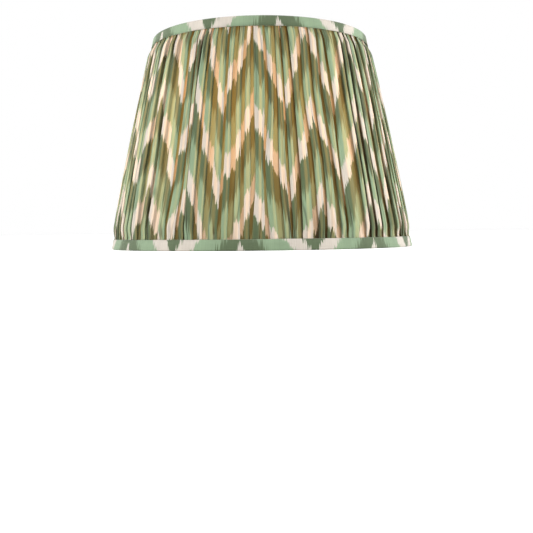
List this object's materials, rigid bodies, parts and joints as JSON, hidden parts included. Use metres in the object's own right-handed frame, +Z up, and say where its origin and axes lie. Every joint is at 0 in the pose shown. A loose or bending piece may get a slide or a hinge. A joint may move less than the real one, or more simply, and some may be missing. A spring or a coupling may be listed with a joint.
{
  "type": "lamp shade",
  "caption": "Tapered lamp shade with a gathered zigzag-print fabric cover, bound rims, a stiff liner and a three-arm fitter with a lift-out reducer.",
  "frame": {"origin": "centre of the flat rim that the shade stands on, on the shade's own axis", "axes": "+Z up along the shade's axis, from the wide rim to the narrow rim; +Y to the back, where one fitter arm is; the cover's two seams are at +X and -X"},
  "size_m": [0.3999, 0.4, 0.275],
  "materials": {
    "frame_wire": "white powder coat, satin",
    "reducer_plastic": "white moulded plastic",
    "liner_laminate": "white translucent laminate, matt",
    "cover_fabric": "woven cotton, green and cream zigzag print",
    "binding_fabric": "same woven cotton, ungathered"
  },
  "bodies": {
    "shade": {"top_ring": "frame_wire", "bottom_ring": "frame_wire", "fitter_arm_1": "frame_wire", "fitter_arm_2": "frame_wire", "fitter_arm_3": "frame_wire", "fitter_ring": "frame_wire", "liner": "liner_laminate", "cover_drop_1": "cover_fabric", "cover_drop_2": "cover_fabric", "top_binding": "binding_fabric", "bottom_binding": "binding_fabric"},
    "reducer": {"reducer_ring": "reducer_plastic"}
  },
  "joints": [
    {"name": "reducer_lift", "type": "slide", "parent": "shade", "child": "reducer", "axis": [0, 0, 1], "range_m": [0, 0.21]}
  ]
}
